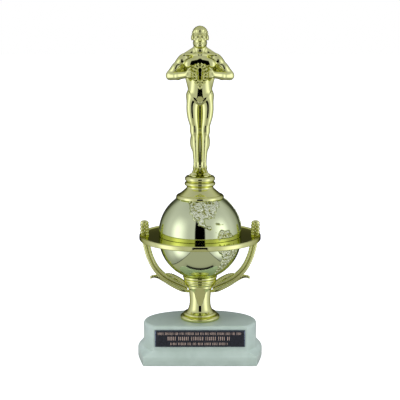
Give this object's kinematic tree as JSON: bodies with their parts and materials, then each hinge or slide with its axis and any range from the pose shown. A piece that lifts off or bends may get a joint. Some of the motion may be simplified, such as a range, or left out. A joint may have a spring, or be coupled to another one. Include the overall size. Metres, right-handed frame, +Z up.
{
  "type": "trophy",
  "caption": "Column trophy: standing metallised figure with a wreath on a globe riser with an equator ring and side brackets, on a weighted stone-look base with a name plate.",
  "frame": {"origin": "on the check rod's axis, at the underside of the felt pad", "axes": "+Z up the rod, the figure and the name plate face -Y, +X to the viewer's right"},
  "size_m": [0.1168, 0.1124, 0.3083],
  "materials": {
    "marble": "pale grey-green stone-look moulding, satin",
    "plaster": "cast, rough",
    "felt": "black felt",
    "black_brass": "black coated with bright bevelled edge",
    "tape": "foam tape",
    "steel": "zinc plated",
    "gold": "pale gold metallised mirror plastic",
    "globe_gold": "pale silvery-gold metallised mirror plastic"
  },
  "bodies": {
    "riser": {"base_shell": "marble", "base_weight": "plaster", "felt_pad": "felt", "name_plate": "black_brass", "plate_tape": "tape", "check_rod": "steel", "flat_washer": "steel", "lock_washer": "steel", "rod_nut": "steel", "stem": "gold", "collar": "gold", "globe_lower": "globe_gold", "globe_upper": "globe_gold", "equator_ring": "gold", "cap": "gold", "bracket_left": "gold", "bracket_right": "gold"},
    "topper": {"figure": "gold", "wreath": "gold", "figure_base": "gold", "figure_nut": "steel"}
  },
  "joints": [
    {"name": "figure_turn", "type": "hinge", "parent": "riser", "child": "topper", "pos_m": [0, 0, 0.169], "axis": [0, 0, 1], "continuous": true}
  ]
}
